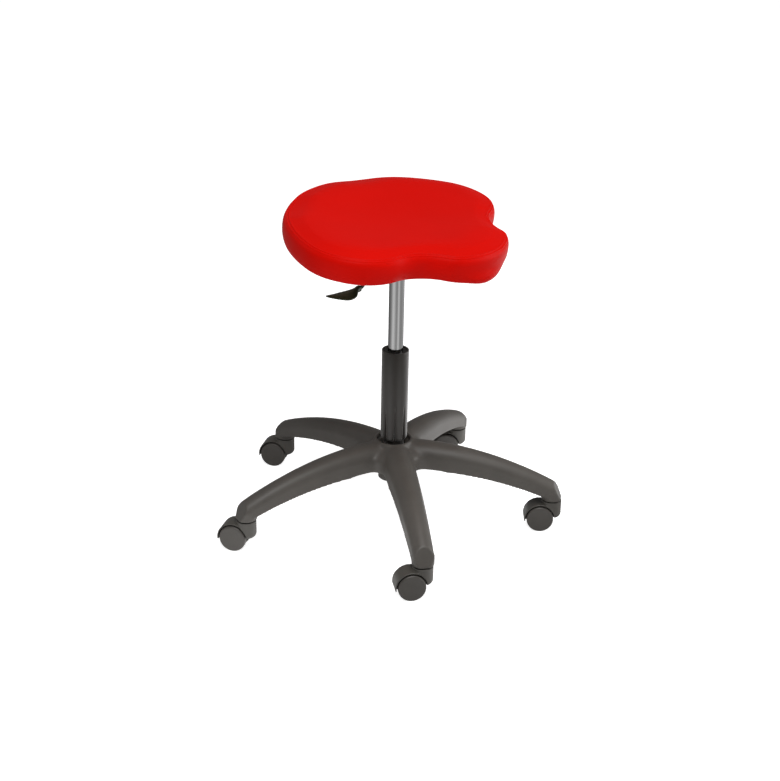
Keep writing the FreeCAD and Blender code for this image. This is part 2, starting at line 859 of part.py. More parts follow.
def all_pieces():
    pieces = {
        "star_base": star_base(),
        "stem_sleeves": stem_sleeves(),
        "caster_stems": caster_stems(),
        "outer_tube": outer_tube(),
        "guide_bush": guide_bush(),
        "bearing_lower_race": bearing_lower_race(),
        "bearing_balls": bearing_balls(),
        "bearing_upper_race": bearing_upper_race(),
        "piston_rod": piston_rod(),
        "piston": piston(),
        "bump_stop": bump_stop(),
        "clip_washer": clip_washer(),
        "rod_clip": rod_clip(),
        "gas_cylinder": gas_cylinder(),
        "rod_guide": rod_guide(),
        "valve_body": valve_body(),
        "release_pin": release_pin(),
        "taper_socket": taper_socket(),
        "seat_plate": seat_plate(),
        "lever_bracket": lever_bracket(),
        "lever_pivot": lever_pivot(),
        "lever_arm": lever_arm(),
        "lever_paddle": lever_paddle(),
        "plate_bolts": plate_bolts(),
        "tee_nuts": tee_nuts(),
        "seat_board": seat_board(),
        "seat_cushion": seat_cushion(),
    }
    housing, axle = caster_housing(), caster_axle()
    left, right = caster_wheel(1), caster_wheel(-1)
    for i in range(arm_count):
        name = "caster_%d_" % (i + 1)
        pieces[name + "housing"] = on_arm(housing, i)
        pieces[name + "axle"] = on_arm(axle, i)
        pieces[name + "wheel_left"] = on_arm(left, i)
        pieces[name + "wheel_right"] = on_arm(right, i)
    return pieces


os.makedirs("parts", exist_ok=True)
for node, shape in all_pieces().items():
    state = "valid" if shape.isValid() else "BROKEN"
    print(node, len(shape.Solids), state, round(shape.Volume), "mm3")
    shape.exportStep("parts/%s.step" % node)
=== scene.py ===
import json
import math

import bpy
import numpy as np
from mathutils import Matrix, Vector


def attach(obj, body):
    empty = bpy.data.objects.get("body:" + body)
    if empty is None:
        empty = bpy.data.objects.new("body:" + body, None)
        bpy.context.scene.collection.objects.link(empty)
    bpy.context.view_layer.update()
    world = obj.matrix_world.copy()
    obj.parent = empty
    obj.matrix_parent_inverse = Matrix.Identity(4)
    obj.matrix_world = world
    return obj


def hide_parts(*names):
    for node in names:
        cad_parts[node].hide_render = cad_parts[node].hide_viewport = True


# Looks of the saddle stool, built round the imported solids. Metres, +Z up, the seat's nose along -Y.

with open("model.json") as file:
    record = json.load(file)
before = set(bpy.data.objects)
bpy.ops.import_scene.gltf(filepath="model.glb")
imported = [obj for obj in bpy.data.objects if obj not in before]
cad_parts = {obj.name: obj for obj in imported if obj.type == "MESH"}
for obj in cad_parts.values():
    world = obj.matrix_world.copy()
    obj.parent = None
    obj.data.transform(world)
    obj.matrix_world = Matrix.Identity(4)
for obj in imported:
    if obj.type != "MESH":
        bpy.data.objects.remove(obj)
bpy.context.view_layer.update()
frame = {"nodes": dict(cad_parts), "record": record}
MM = 0.001
TURN = 2 * math.pi
CASTERS = range(1, 6)

# Camera, placed where the photograph was taken from
CAMERA_AT = Vector((-2.3089, -1.3773, 1.4383))
CAMERA_AIM = Vector((-0.0044, 0.0074, 0.2583))
CAMERA_ROLL = math.radians(1.13)
LENS_PX = 1584.0
PHOTO_LONG_SIDE = 781.0
SENSOR = 36.0

# Studio: brightness of the surroundings and of the floor, as the camera sees it and as it lights the object
AMBIENT = 0.19
FLOOR_SIZE = 12.0
FLOOR_SEEN, FLOOR_GLOW = 0.85, 0.15
FLOOR_ALBEDO_SEEN, FLOOR_ALBEDO, FLOOR_ROUGHNESS = 0.85, 0.45, 0.8
WHITE = (1.0, 1.0, 1.0, 1.0)
# bright sectors that the chrome mirrors as bands: angle to the camera's right, glow and tightness
BANDS = ((-42.0, 1.0, 7.0), (36.0, 0.9, 24.0), (132.0, 1.6, 24.0))

# soft boxes: name, angle to the camera's right, elevation, distance, sizes and watts, in metres and degrees
LIGHTS = (("front", 0.0, 54.0, 2.4, (0.8, 0.8), 25.0),
          ("top", 40.0, 76.0, 2.2, (1.0, 1.0), 22.0),
          ("right", 98.0, 16.0, 2.4, (1.0, 1.4), 26.0),
          ("left", -100.0, 34.0, 2.4, (1.0, 1.4), 2.6))
LIGHT_AIM = Vector((0, 0, 0.35))


def placed(name, data):
    """A new object that shows the given data."""
    obj = bpy.data.objects.new(name, data)
    bpy.context.scene.collection.objects.link(obj)
    return obj


def add_camera():
    cam = bpy.data.cameras.new("camera")
    cam.sensor_width = SENSOR
    cam.lens = LENS_PX * SENSOR / PHOTO_LONG_SIDE
    cam.clip_end = 50.0
    obj = placed("camera", cam)
    look = (CAMERA_AIM - CAMERA_AT).normalized()
    right = look.cross(Vector((0, 0, 1))).normalized()
    up = right.cross(look)
    c, s = math.cos(CAMERA_ROLL), math.sin(CAMERA_ROLL)
    right, up = c * right + s * up, c * up - s * right
    turn = Matrix((right, up, -look)).transposed().to_4x4()
    obj.matrix_world = Matrix.Translation(CAMERA_AT) @ turn
    bpy.context.scene.camera = obj


def towards_camera():
    """The level direction from the object to the camera."""
    return Vector((CAMERA_AT.x, CAMERA_AT.y, 0)).normalized()


def add_light(name, round_by, height, reach, size, power):
    """A soft box, placed by its angle to the right of the camera, its elevation and its distance."""
    light = bpy.data.lights.new(name, "AREA")
    light.shape = "RECTANGLE"
    light.size, light.size_y = size
    light.energy = power
    side, lift = math.radians(round_by), math.radians(height)
    back = towards_camera()
    right = Vector((-back.y, back.x, 0))
    level = back * math.cos(side) + right * math.sin(side)
    at = LIGHT_AIM + (level * math.cos(lift) + Vector((0, 0, math.sin(lift)))) * reach
    obj = placed(name, light)
    obj.location = at
    obj.rotation_mode = "QUATERNION"
    obj.rotation_quaternion = (LIGHT_AIM - at).to_track_quat("-Z", "Y")


# Node material helpers

class Nodes:
    """A small builder for one material's node tree."""

    def __init__(self, name):
        self.material = bpy.data.materials.new(name)
        self.material.use_nodes = True
        self.tree = self.material.node_tree
        self.shader = self.tree.nodes["Principled BSDF"]
        self.coords = self.add("ShaderNodeTexCoord").outputs["Object"]

    def add(self, kind, **inputs):
        node = self.tree.nodes.new(kind)
        for key, value in inputs.items():
            self.feed(node.inputs[key.replace("_", " ")], value)
        return node

    def feed(self, socket, value):
        if isinstance(value, bpy.types.NodeSocket):
            self.tree.links.new(value, socket)
        else:
            socket.default_value = value

    def noise(self, scale, detail=2.0, rough=0.5, coords=None):
        node = self.add("ShaderNodeTexNoise", Vector=coords or self.coords, Scale=scale, Detail=detail)
        node.inputs["Roughness"].default_value = rough
        return node.outputs["Fac"]

    def stretched(self, scale):
        """The object's coordinates with a scale for each axis."""
        node = self.add("ShaderNodeMapping", Vector=self.coords)
        node.inputs["Scale"].default_value = scale
        return node.outputs["Vector"]

    def cells(self, scale):
        return self.add("ShaderNodeTexVoronoi", Vector=self.coords, Scale=scale).outputs["Distance"]

    def math(self, kind, a, b=0.0):
        node = self.tree.nodes.new("ShaderNodeMath")
        node.operation = kind
        self.feed(node.inputs[0], a)
        self.feed(node.inputs[1], b)
        return node.outputs["Value"]

    def span(self, value, low, high, a=0.0, b=1.0):
        node = self.add("ShaderNodeMapRange", Value=value)
        for key, v in zip(("From Min", "From Max", "To Min", "To Max"), (low, high, a, b)):
            node.inputs[key].default_value = v
        return node.outputs["Result"]

    def mix(self, fac, a, b):
        node = self.tree.nodes.new("ShaderNodeMix")
        node.data_type = "RGBA"
        self.feed(node.inputs["Factor"], fac)
        self.feed(node.inputs["A"], (*a, 1.0) if isinstance(a, tuple) else a)
        self.feed(node.inputs["B"], (*b, 1.0) if isinstance(b, tuple) else b)
        return node.outputs["Result"]

    def bump(self, height, strength, distance, normal=None):
        node = self.add("ShaderNodeBump", Height=height, Strength=strength, Distance=distance)
        if normal is not None:
            self.feed(node.inputs["Normal"], normal)
        return node.outputs["Normal"]

    def set(self, **values):
        for key, value in values.items():
            self.feed(self.shader.inputs[key.replace("_", " ")], value)


# Materials. A noise is its scale over a metre, its detail and its roughness, and a bump is its strength and
# its depth in metres. Dark and light are shares of the colour.

# the ranges of a noise that a drift of colour or of roughness is spread over
NARROW, WIDE = (0.35, 0.65), (0.3, 0.7)
PLASTIC_BROAD, PLASTIC_DARK, PLASTIC_LIGHT = (18.0, 3.0, 0.55), 0.93, 1.06
PLASTIC_SMOOTHER, PLASTIC_ROUGHER = 0.04, 0.05
GRAIN_DETAIL, GRAIN_ROUGHNESS, GRAIN_DEPTH = 3.0, 0.6, 0.0004
DUST_ROUGHNESS = 0.5   # of the sheen that brightens matte paint towards its edges
METAL_DARK, METAL_SMOOTHER, METAL_ROUGHER = 0.95, 0.85, 1.2
STREAKS, STREAK_STRETCH, STREAK_BUMP = (260.0, 2.0, 0.5), (1.0, 1.0, 0.04), (0.03, 0.0002)
VINYL_DARK, VINYL_GLOSS, VINYL_SMOOTHEST, VINYL_ROUGHEST = 0.96, 0.04, 0.44, 0.52
PEBBLES, VINYL_FINE = 900.0, (2600.0, 2.0, 0.6)
VINYL_BROAD, VINYL_WAVY = (9.0, 2.0, 0.5), (38.0, 2.0, 0.5)
PEBBLE_BUMP, FINE_BUMP, WAVY_BUMP = (0.10, 0.0003), (0.05, 0.0002), (0.10, 0.0012)
WOOD_RINGS, WOOD_PORES, WOOD_STRETCH = (16.0, 4.0, 0.6), (420.0, 2.0, 0.5), (1.0, 9.0, 9.0)
WOOD_ROUGHNESS, WOOD_BUMP = 0.7, (0.2, 0.0004)


def grey(level):
    return (level, level, level)


def scaled(colour, share):
    return tuple(c * share for c in colour)


def plastic(name, colour, roughness, grain=1400.0, bump=0.08, gloss=0.5, dust=0.0):
    """Moulded plastic, rubber or paint: a fine grain, and slight drift of colour and roughness."""
    m = Nodes(name)
    fine = m.noise(grain, GRAIN_DETAIL, GRAIN_ROUGHNESS)
    broad = m.noise(*PLASTIC_BROAD)
    dark, light = scaled(colour, PLASTIC_DARK), scaled(colour, PLASTIC_LIGHT)
    m.set(Base_Color=m.mix(m.span(broad, *NARROW), dark, light),
          Roughness=m.span(broad, *WIDE, roughness - PLASTIC_SMOOTHER, roughness + PLASTIC_ROUGHER),
          Normal=m.bump(fine, bump, GRAIN_DEPTH), Specular_IOR_Level=gloss, Sheen_Weight=dust,
          Sheen_Roughness=DUST_ROUGHNESS)
    return m.material


def metal(name, colour, roughness, edge=1.0):
    """Metal with fine upright streaks; edge is how bright it turns where it is seen at a low angle."""
    m = Nodes(name)
    streak = m.noise(*STREAKS, m.stretched(STREAK_STRETCH))
    m.set(Base_Color=m.mix(m.span(streak, *WIDE), scaled(colour, METAL_DARK), colour),
          Roughness=m.span(streak, *WIDE, roughness * METAL_SMOOTHER, roughness * METAL_ROUGHER),
          Normal=m.bump(streak, *STREAK_BUMP), Metallic=1.0, Specular_Tint=(*grey(edge), 1.0))
    return m.material


def vinyl(name, colour):
    """Coated upholstery fabric: a fine pebble grain, slight colour drift and a soft sheen."""
    m = Nodes(name)
    fine = m.noise(*VINYL_FINE)
    grain = m.bump(m.cells(PEBBLES), *PEBBLE_BUMP)
    grain = m.bump(fine, *FINE_BUMP, grain)
    grain = m.bump(m.noise(*VINYL_WAVY), *WAVY_BUMP, grain)
    m.set(Base_Color=m.mix(m.span(m.noise(*VINYL_BROAD), *NARROW), scaled(colour, VINYL_DARK), colour),
          Roughness=m.span(fine, *WIDE, VINYL_SMOOTHEST, VINYL_ROUGHEST), Normal=grain,
          Specular_IOR_Level=VINYL_GLOSS)
    return m.material


def wood(name, light, dark):
    """Raw plywood with long grain and pores."""
    m = Nodes(name)
    along = m.stretched(WOOD_STRETCH)
    m.set(Base_Color=m.mix(m.span(m.noise(*WOOD_RINGS, along), *WIDE), light, dark),
          Roughness=WOOD_ROUGHNESS, Normal=m.bump(m.noise(*WOOD_PORES, along), *WOOD_BUMP))
    return m.material


MATERIALS = {
    "base_plastic": plastic("base_plastic", (0.078, 0.071, 0.063), 0.48, gloss=0.38),
    "caster_plastic": plastic("caster_plastic", (0.064, 0.059, 0.051), 0.48),
    "wheel_plastic": plastic("wheel_plastic", (0.064, 0.058, 0.051), 0.45),
    "bush_plastic": plastic("bush_plastic", (0.012, 0.012, 0.012), 0.5),
    "lever_plastic": plastic("lever_plastic", (0.006, 0.014, 0.001), 0.42),
    "tube_paint": plastic("tube_paint", (0.0195, 0.0165, 0.0135), 0.34, 2200.0, 0.04, 0.35, 0.32),
    "plate_paint": plastic("plate_paint", (0.020, 0.020, 0.020), 0.4, 2200.0, 0.05),
    "lever_steel": plastic("lever_steel", (0.018, 0.018, 0.018), 0.35, 2200.0, 0.04),
    "cylinder_chrome": metal("cylinder_chrome", (0.30, 0.30, 0.30), 0.13, edge=0.15),
    "sleeve_steel": metal("sleeve_steel", (0.55, 0.55, 0.55), 0.3),
    "bearing_steel": metal("bearing_steel", (0.55, 0.55, 0.56), 0.22),
    "bolt_zinc": metal("bolt_zinc", (0.62, 0.62, 0.64), 0.35),
    "piston_brass": metal("piston_brass", (0.60, 0.45, 0.20), 0.3),
    "bump_rubber": plastic("bump_rubber", (0.015, 0.015, 0.015), 0.7),
    "board_wood": wood("board_wood", (0.56, 0.40, 0.25), (0.42, 0.28, 0.16)),
    "seat_cover": vinyl("seat_cover", (0.545, 0.0026, 0.0005)),
}


def dress_nodes():
    """Every carried-over solid takes the material of its slot in the record."""
    for part in frame["record"]["subparts"]:
        mesh = frame["nodes"][part["node"]].data
        mesh.materials.clear()
        mesh.materials.append(MATERIALS[part["material_slot"]])


def add_world():
    """White behind the object, and dimmer as a source of light so that the soft boxes shape it."""
    scene = bpy.context.scene
    scene.view_settings.view_transform = "Standard"
    world = bpy.data.worlds.new("studio")
    scene.world = world
    world.use_nodes = True
    tree = world.node_tree
    back = tree.nodes["Background"]
    back.inputs["Strength"].default_value = 1.0
    path = tree.nodes.new("ShaderNodeLightPath")
    seen = tree.nodes.new("ShaderNodeMix")
    seen.data_type = "RGBA"
    seen.inputs["A"].default_value = (*grey(AMBIENT), 1.0)
    seen.inputs["B"].default_value = WHITE
    tree.links.new(path.outputs["Is Camera Ray"], seen.inputs["Factor"])
    tree.links.new(seen.outputs["Result"], back.inputs["Color"])


def floor_bands(m):
    """Brightness of the floor round the object, with its lit sectors."""
    place = m.add("ShaderNodeSeparateXYZ", Vector=m.coords)
    angle = m.math("ARCTAN2", place.outputs["Y"], place.outputs["X"])
    back = towards_camera()
    front = math.atan2(back.y, back.x)
    glow = FLOOR_GLOW
    for turn, strength, tightness in BANDS:
        swing = m.math("COSINE", m.math("SUBTRACT", angle, front + math.radians(turn)))
        sector = m.math("POWER", m.math("MAXIMUM", swing, 0.0), tightness)
        glow = m.math("ADD", m.math("MULTIPLY", sector, strength), glow)
    return glow


def add_floor():
    mesh = bpy.data.meshes.new("floor")
    s = FLOOR_SIZE
    mesh.from_pydata([(-s, -s, 0), (s, -s, 0), (s, s, 0), (-s, s, 0)], [], [(0, 1, 2, 3)])
    floor = placed("floor", mesh)
    m = Nodes("floor_white")
    seen = m.add("ShaderNodeLightPath").outputs["Is Camera Ray"]
    dim = m.math("MULTIPLY", m.math("SUBTRACT", 1.0, seen), floor_bands(m))
    glow = m.math("ADD", m.math("MULTIPLY", seen, FLOOR_SEEN), dim)
    m.set(Base_Color=m.mix(seen, grey(FLOOR_ALBEDO), grey(FLOOR_ALBEDO_SEEN)),
          Roughness=FLOOR_ROUGHNESS, Emission_Strength=glow, Emission_Color=WHITE)
    mesh.materials.append(m.material)


# Mesh and curve helpers

def make_piece(name, verts, faces, material):
    mesh = bpy.data.meshes.new(name)
    mesh.from_pydata([tuple(v) for v in verts], [], faces)
    mesh.validate()
    return finished(name, mesh, material)


def finished(name, mesh, material):
    mesh.materials.clear()
    mesh.materials.append(MATERIALS[material])
    obj = placed(name, mesh)
    mesh.polygons.foreach_set("use_smooth", np.ones(len(mesh.polygons), bool))
    return obj


def settle(obj, body, node=None):
    """Let a piece ride on its body, and stand for a solid where one is named."""
    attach(obj, body)
    if node:
        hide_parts(node)


def joint(name):
    return next(j for j in frame["record"]["behaviour"]["joints"] if j["name"] == name)


def ring_faces(rows, count, closed_rows=False):
    """Quads between rows of points that each close on themselves."""
    faces = []
    last = rows if closed_rows else rows - 1
    for r in range(last):
        a, b = r * count, (r + 1) % rows * count
        faces += [(a + i, a + (i + 1) % count, b + (i + 1) % count, b + i) for i in range(count)]
    return faces


def end_caps(rows, count):
    """The two faces that close a tube of rows at its ends."""
    last = (rows - 1) * count
    return [tuple(range(count))[::-1], tuple(range(last, last + count))]


def end_fans(rows, count):
    """Triangles that close the last and the first row at the two points that come after all rows."""
    last, tip, foot = (rows - 1) * count, rows * count, rows * count + 1
    fans = [(last + i, last + (i + 1) % count, tip) for i in range(count)]
    return fans + [((i + 1) % count, i, foot) for i in range(count)]


def applied(obj):
    """The mesh of an object with its modifiers worked in."""
    bpy.context.view_layer.update()
    depsgraph = bpy.context.evaluated_depsgraph_get()
    mesh = bpy.data.meshes.new_from_object(obj.evaluated_get(depsgraph))
    obj.modifiers.clear()
    return mesh


def points_of(mesh):
    flat = np.empty(len(mesh.vertices) * 3)
    mesh.vertices.foreach_get("co", flat)
    return flat.reshape(-1, 3)


def spline(p0, p1, p2, p3, t):
    return 0.5 * (2 * p1 + (p2 - p0) * t + (2 * p0 - 5 * p1 + 4 * p2 - p3) * t ** 2
                  + (3 * p1 - p0 - 3 * p2 + p3) * t ** 3)


def through(points, step):
    """Points along a smooth curve through the given ones, about one step apart."""
    pts = np.array(points, float)
    pts = np.vstack([2 * pts[0] - pts[1], pts, 2 * pts[-1] - pts[-2]])
    out = []
    for p0, p1, p2, p3 in zip(pts, pts[1:], pts[2:], pts[3:]):
        count = max(1, round(float(np.linalg.norm(p2 - p1)) / step))
        out.append(spline(p0, p1, p2, p3, (np.arange(count) / count)[:, None]))
    return np.vstack(out + [pts[-2:-1]])


# Rounded solids: a solid remeshed evenly and relaxed, so that its moulded edges and corners are soft. Each
# round is a step towards the neighbours and a step back, which keeps the volume.

ROUND_STEP, RETURN_STEP = 0.55, -0.57


def relax(points, edges, weight, steps):
    """Draw each point towards the mean of its neighbours, once for each step."""
    a, b = edges[:, 0], edges[:, 1]
    degree = np.bincount(a, minlength=len(points)) + np.bincount(b, minlength=len(points))
    for step in steps:
        mean = np.column_stack([
            np.bincount(a, points[b, k], len(points)) + np.bincount(b, points[a, k], len(points))
            for k in range(3)]) / np.maximum(degree, 1)[:, None]
        points = points + step * weight[:, None] * (mean - points)
    return points


def rounded(node, voxel, rounds, keep, weigh=None, blend_rounds=0, mend=None):
    """A soft-edged copy of a solid's mesh: voxel size in millimetres, rounds and share of faces kept."""
    source = frame["nodes"][node]
    work = placed(node + "_work", source.data.copy())
    work.data.transform(source.matrix_world)
    if mend:
        work.data.vertices.foreach_set("co", mend(points_of(work.data)).ravel())
    remesh = work.modifiers.new("remesh", "REMESH")
    remesh.mode = "VOXEL"
    remesh.voxel_size = voxel * MM
    mesh = applied(work)
    points = points_of(mesh)
    flat = np.empty(len(mesh.edges) * 2, np.int64)
    mesh.edges.foreach_get("vertices", flat)
    edges = flat.reshape(-1, 2)
    even = np.ones(len(points))
    sharp, soft = weigh(points) if weigh else (even, even)
    points = relax(points, edges, sharp, (ROUND_STEP, RETURN_STEP) * rounds)
    points = relax(points, edges, soft, (ROUND_STEP,) * blend_rounds)
    mesh.vertices.foreach_set("co", points.ravel())
    work.data = mesh
    thin = work.modifiers.new("thin", "DECIMATE")
    thin.ratio = keep
    result = applied(work)
    bpy.data.objects.remove(work)
    return result


# Star base. The voxel's size, the rounds of rounding and of blending, and the share of faces kept

BASE_VOXEL, BASE_ROUNDS, BLEND_ROUNDS, BASE_KEEP = 1.7, 9, 60, 0.36
# distances from the column, in metres, and how gently the rim of the column's recess is relaxed
HUB_RING, HUB_BLEND, ARM_START, ARM_END = 0.034, 0.046, 0.105, 0.290
RING_SHARPNESS = 0.35
# how much the arms' upper edges are softened, how far down from the ridge, and the width of its bands
ARM_SOFT, SOFT_DEPTH, SOFT_FADE, RIDGE_BAND = 0.65, 0.020, 0.010, 0.005
# the pockets that the sleeves stand in: radius, top and mouth, in millimetres
POCKET_R, POCKET_TOP, POCKET_MOUTH = 7.05, 85.6, 64.8


def hub_weights(points):
    """Weights for rounding, less round the recess, and for blending, at the arms' roots and top edges."""
    reach = np.hypot(points[:, 0], points[:, 1])
    sharp = np.where(reach < HUB_RING, RING_SHARPNESS, 1.0)
    fade = ARM_START - HUB_BLEND
    inner = np.clip((reach - HUB_RING) / (HUB_BLEND - HUB_RING), 0.0, 1.0)
    outer = np.clip((ARM_START - reach) / fade, 0.0, 1.0)
    tip = np.clip((ARM_END - reach) / fade, 0.0, 1.0)
    band = (reach / RIDGE_BAND).astype(int)
    ridge = np.zeros(band.max() + 1)
    np.maximum.at(ridge, band, points[:, 2])
    upper = np.clip((points[:, 2] - ridge[band] + SOFT_DEPTH) / SOFT_FADE, 0.0, 1.0)
    return sharp, inner * np.maximum(outer, ARM_SOFT * tip * upper)


def fill_pockets(points):
    """Fill the sleeves' pockets above their mouths, because the wall over them is thinner than a voxel."""
    for i in CASTERS:
        x, y, _ = joint("caster_%d_swivel" % i)["pos_m"]
        near = np.hypot(points[:, 0] - x, points[:, 1] - y) < POCKET_R * MM
        inside = near & (points[:, 2] > POCKET_MOUTH * MM) & (points[:, 2] < POCKET_TOP * MM)
        points[inside, 2] = POCKET_MOUTH * MM
    return points


def add_star_base():
    mesh = rounded("star_base", BASE_VOXEL, BASE_ROUNDS, BASE_KEEP, hub_weights, BLEND_ROUNDS, fill_pockets)
    settle(finished("base_shell", mesh, "base_plastic"), "root", "star_base")


# Casters, in millimetres. Their wheels are hollow on the inner side, with a rim round a dish and a hub.

WHEEL_R, WHEEL_EDGE, WHEEL_IN, WHEEL_OUT, WHEEL_DOME = 25.0, 3.2, 8.6, 19.8, 0.8
HUB_R, BORE_R, BORE_END, DISH, RIM_R = 7.0, 3.06, 17.4, 13.6, 21.0
# the radius of the inner side's small rounds, the steps round the wheel and over its outer face, and the
# radius of the small caps that close it at its axis
SMALL_R, WHEEL_SEGMENTS, FACE_STEPS, AXIS_R = 1.0, 72, 9, 0.05
HOUSING_VOXEL, HOUSING_ROUNDS, HOUSING_KEEP = 0.9, 4, 0.42


def arc(centre, radius, start, end, count):
    """Points on a circular arc, from one angle to another in degrees."""
    angles = np.radians(np.linspace(start, end, count))
    return [(centre[0] + radius * math.cos(a), centre[1] + radius * math.sin(a)) for a in angles]


def wheel_profile():
    """Section of a wheel: (radius, distance from the caster's middle), from the bore round to the dome."""
    profile = [(AXIS_R, BORE_END), (BORE_R, BORE_END), (BORE_R, WHEEL_IN), (HUB_R, WHEEL_IN),
               (HUB_R, DISH - SMALL_R)]
    profile += arc((HUB_R + SMALL_R, DISH - SMALL_R), SMALL_R, 180, 90, 4)[1:]
    profile += arc((RIM_R - SMALL_R, DISH - SMALL_R), SMALL_R, 90, 0, 4)
    profile += [(RIM_R, WHEEL_IN)]
    profile += arc((WHEEL_R - SMALL_R, WHEEL_IN + SMALL_R), SMALL_R, -90, 0, 5)
    reach = WHEEL_R - WHEEL_EDGE
    profile += arc((reach, WHEEL_OUT - WHEEL_EDGE), WHEEL_EDGE, 0, 90, FACE_STEPS)
    shares = np.linspace(1.0, 0.0, FACE_STEPS)[1:]
    return profile + [(max(reach * t, AXIS_R), WHEEL_OUT + WHEEL_DOME * (1 - t * t)) for t in shares]


def lathe(profile, segments, origin, axis):
    """A surface of revolution, closed through its axis, in metres."""
    axis = Vector(axis).normalized()
    side = axis.orthogonal().normalized()
    third = axis.cross(side)
    turn = np.array([[math.cos(a), math.sin(a)] for a in np.linspace(0, TURN, segments, endpoint=False)])
    plane = turn @ np.array([side, third])
    rows = [np.array(origin) + plane * (r * MM) + np.array(axis) * (h * MM) for r, h in profile]
    return np.vstack(rows), ring_faces(len(rows), segments) + end_caps(len(rows), segments)


def add_casters():
    for i in CASTERS:
        name = "caster_%d" % i
        mesh = rounded(name + "_housing", HOUSING_VOXEL, HOUSING_ROUNDS, HOUSING_KEEP)
        settle(finished(name + "_shell", mesh, "caster_plastic"), name, name + "_housing")
        for side, sign in (("left", 1), ("right", -1)):
            roll = joint("%s_roll_%s" % (name, side))
            axis = Vector(roll["axis"]) * sign
            verts, faces = lathe(wheel_profile(), WHEEL_SEGMENTS, roll["pos_m"], axis)
            wheel = "%s_wheel_%s" % (name, side)
            settle(make_piece("%s_disc_%s" % (name, side), verts, faces, "wheel_plastic"), wheel,
                   wheel)


# Column tube, in millimetres: plain above, drawn in to a neck below with grooves that deepen downwards

TUBE_R, TUBE_WALL, TUBE_TOP, TUBE_EDGE = 25.0, 2.0, 341.0, 0.5
NECK_TOP, NECK_BOTTOM, NECK_R, NECK_SLOPE, NECK_WALL = 169.0, 95.0, 19.5, 0.0125, 2.5
SWAGE, FLUTE_TOP, FLUTE_COUNT, FLUTE_TURN, FLUTE_HALF, FLUTE_DEPTH = 5.5, 236.0, 8, -145.0, 1.9, 5.4
# a groove's width at its top end, how fast it deepens, how it widens at its foot, over what height, and how
# far above it the tube is plain again
FLUTE_START, FLUTE_POWER, FLUTE_SPREAD, FLUTE_FADE, FLUTE_CLEAR = 0.55, 0.8, 0.5, 5.0, 2.0
FLOOR_TOP, ROD_HOLE, WASHER_R, WASHER_H = 100.4, 4.6, 14.6, 1.4
NECK_EDGE, TUBE_SEGMENTS, SWAGE_ROWS, FLUTE_ROWS, SHARP_ANGLE = 0.4, 256, 12, 34, 40.0


def neck_radius(z):
    return NECK_R - NECK_SLOPE * (NECK_TOP - z)


def flute(angle, z):
    """Depth of the grooves at a height, over all angles round the tube."""
    pitch = TURN / FLUTE_COUNT
    off = (angle - math.radians(FLUTE_TURN) + pitch / 2) % pitch - pitch / 2
    share = min(max((FLUTE_TOP - z) / (FLUTE_TOP - NECK_TOP), 0.0), 1.0)
    low = math.exp(-max(z - NECK_TOP, 0.0) / FLUTE_FADE)
    half = FLUTE_HALF * (FLUTE_START + (1 - FLUTE_START) * share) + FLUTE_SPREAD * low
    return FLUTE_DEPTH * share ** FLUTE_POWER * np.exp(-(off * TUBE_R / half) ** 2)


def tube_rows():
    """Radius at every angle, and height, for each row of the tube, from the floor plate's hole and back."""
    angle = np.linspace(0, TURN, TUBE_SEGMENTS, endpoint=False)
    even = np.ones(TUBE_SEGMENTS)
    plain = [(ROD_HOLE, FLOOR_TOP), (ROD_HOLE, NECK_BOTTOM + WASHER_H), (WASHER_R, NECK_BOTTOM + WASHER_H),
             (WASHER_R, NECK_BOTTOM), (neck_radius(NECK_BOTTOM) - NECK_EDGE, NECK_BOTTOM),
             (neck_radius(NECK_BOTTOM), NECK_BOTTOM + NECK_EDGE),
             (neck_radius(NECK_TOP - SWAGE), NECK_TOP - SWAGE)]
    rows = [(even * r, z) for r, z in plain]
    for t in np.linspace(0.0, 1.0, SWAGE_ROWS)[1:]:
        z = NECK_TOP - SWAGE * (1 - t)
        bulge = math.sqrt(1 - (1 - t) ** 2)
        wide = NECK_R + (TUBE_R - NECK_R) * bulge
        rows.append((np.maximum(wide - flute(angle, z), neck_radius(z)), z))
    for z in np.linspace(NECK_TOP, FLUTE_TOP + FLUTE_CLEAR, FLUTE_ROWS)[1:]:
        rows.append((np.maximum(TUBE_R - flute(angle, z), neck_radius(z)), z))
    bore, narrow = TUBE_R - TUBE_WALL, neck_radius(NECK_BOTTOM) - NECK_WALL
    ends = [(TUBE_R, TUBE_TOP - TUBE_EDGE), (TUBE_R - TUBE_EDGE / 3, TUBE_TOP - TUBE_EDGE / 3),
            (TUBE_R - TUBE_EDGE, TUBE_TOP), (bore + TUBE_EDGE, TUBE_TOP), (bore, TUBE_TOP - TUBE_EDGE),
            (bore, FLUTE_TOP + bore - narrow), (narrow, FLUTE_TOP), (narrow, FLOOR_TOP)]
    return angle, rows + [(even * r, z) for r, z in ends]


def add_tube():
    angle, rows = tube_rows()
    verts = [np.column_stack([r * np.cos(angle), r * np.sin(angle), np.full(TUBE_SEGMENTS, z)])
             for r, z in rows]
    faces = ring_faces(len(rows), TUBE_SEGMENTS, closed_rows=True)
    tube = make_piece("column_tube", np.vstack(verts) * MM, faces, "tube_paint")
    tube.data.set_sharp_from_angle(angle=math.radians(SHARP_ANGLE))
    settle(tube, "root", "outer_tube")


# Lever paddle, in millimetres: a leaf-shaped blade that starts as a round socket for the rod

LEVER_ANGLE = math.radians(168.0)
PADDLE_LENGTH = 73.0
